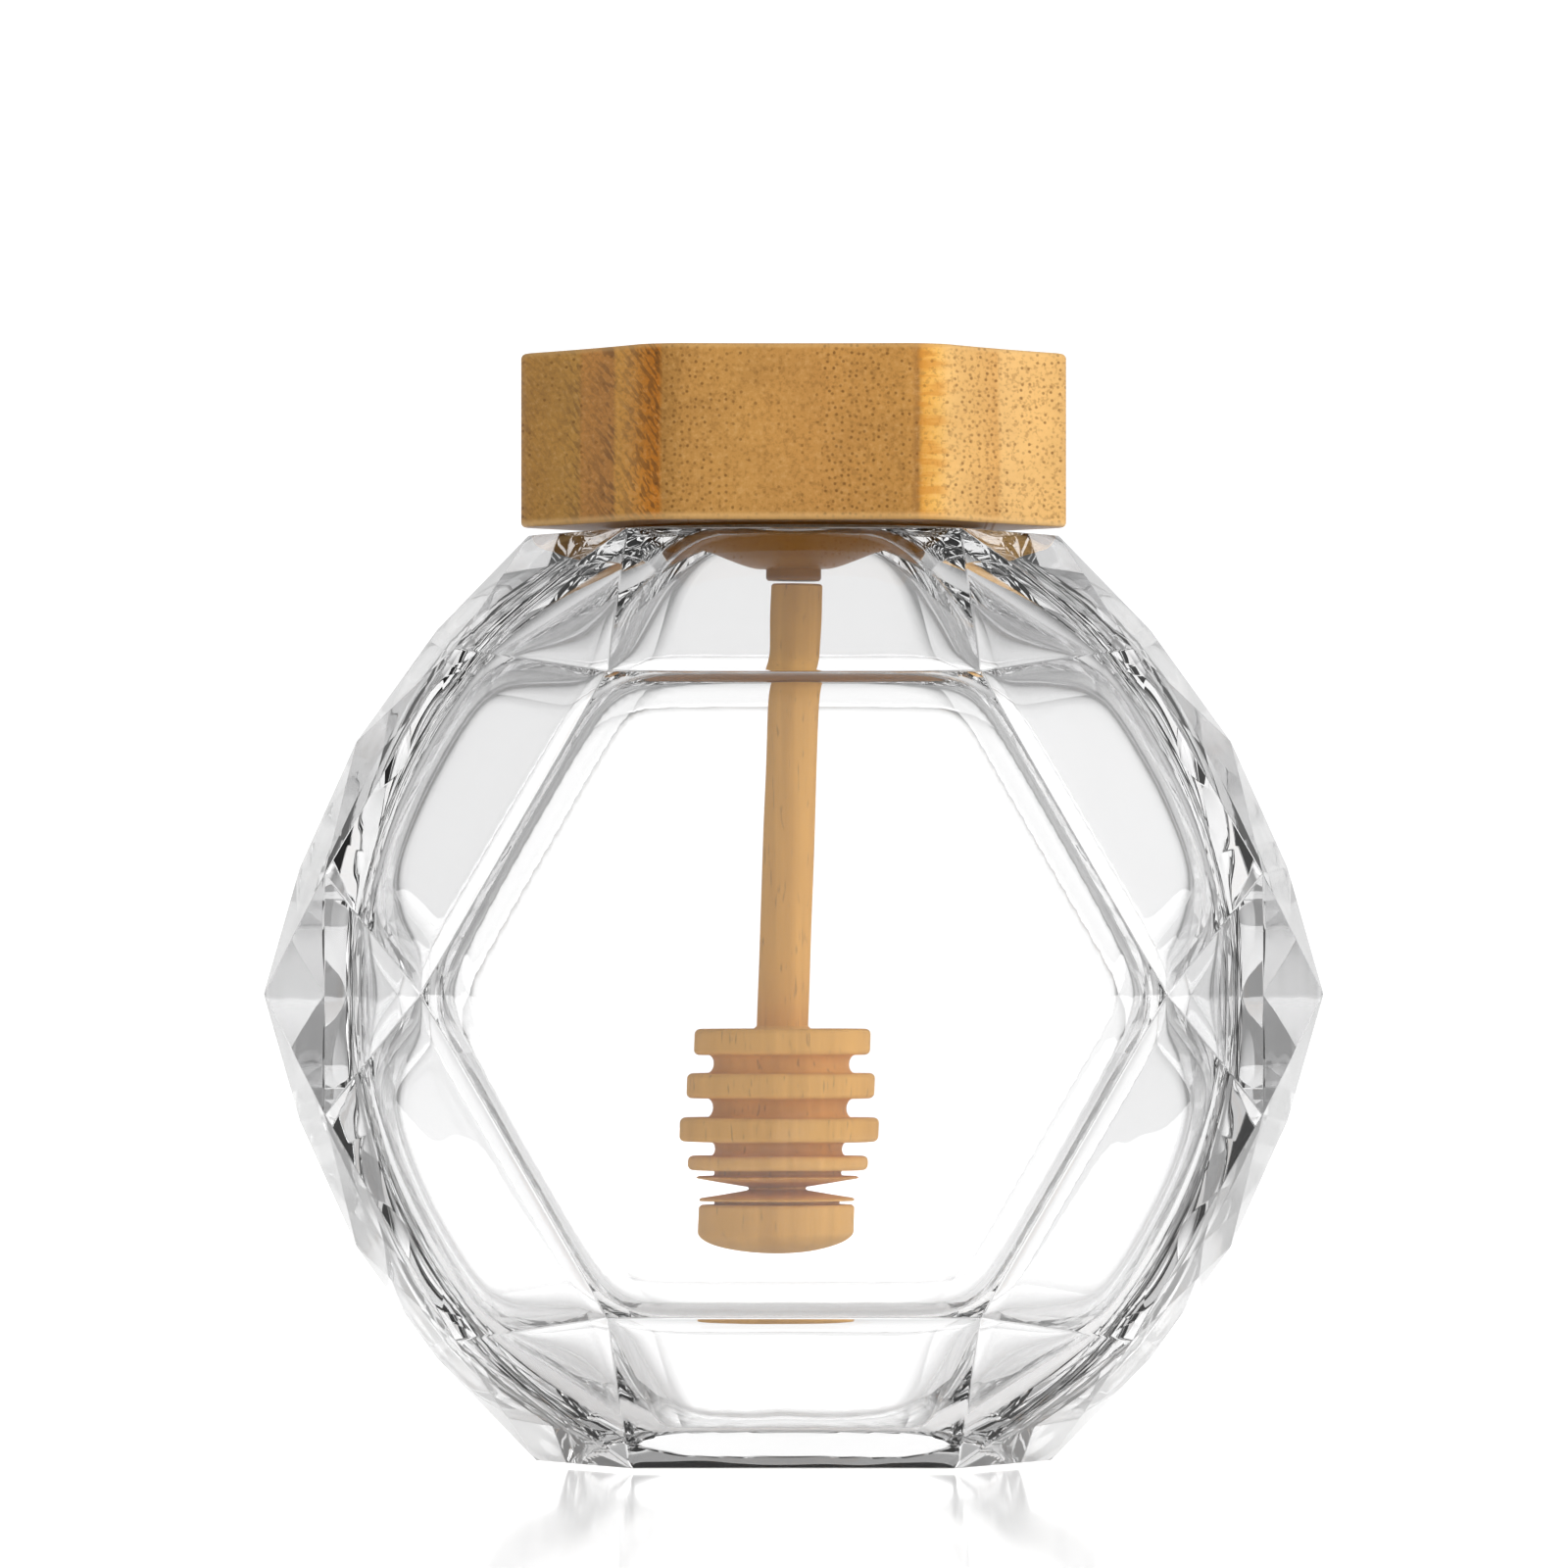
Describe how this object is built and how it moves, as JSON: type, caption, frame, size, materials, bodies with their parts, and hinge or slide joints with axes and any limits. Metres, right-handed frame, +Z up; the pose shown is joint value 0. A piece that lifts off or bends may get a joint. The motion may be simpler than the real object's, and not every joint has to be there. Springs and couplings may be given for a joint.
{
  "type": "hexagonal honey jar",
  "caption": "Faceted clear glass honey jar with a hexagonal window front and back, a six-sided bamboo lid with a plug and seal ring, and a wooden honey dipper hanging inside.",
  "frame": {"origin": "middle of the flat base, on the surface that the jar stands on", "axes": "+Z up through the lid, -Y towards the front hexagonal window, +X to the right seen from the front"},
  "size_m": [0.11, 0.08, 0.1148],
  "materials": {
    "glass": "clear, polished, thick-walled",
    "bamboo": "satin varnish over laminated bamboo end grain",
    "silicone": "translucent, matt",
    "beech": "fine sanded, unvarnished"
  },
  "bodies": {
    "root": {"jar_glass": "glass", "lid_bamboo": "bamboo", "seal_ring": "silicone", "dipper": "beech"}
  },
  "joints": []
}
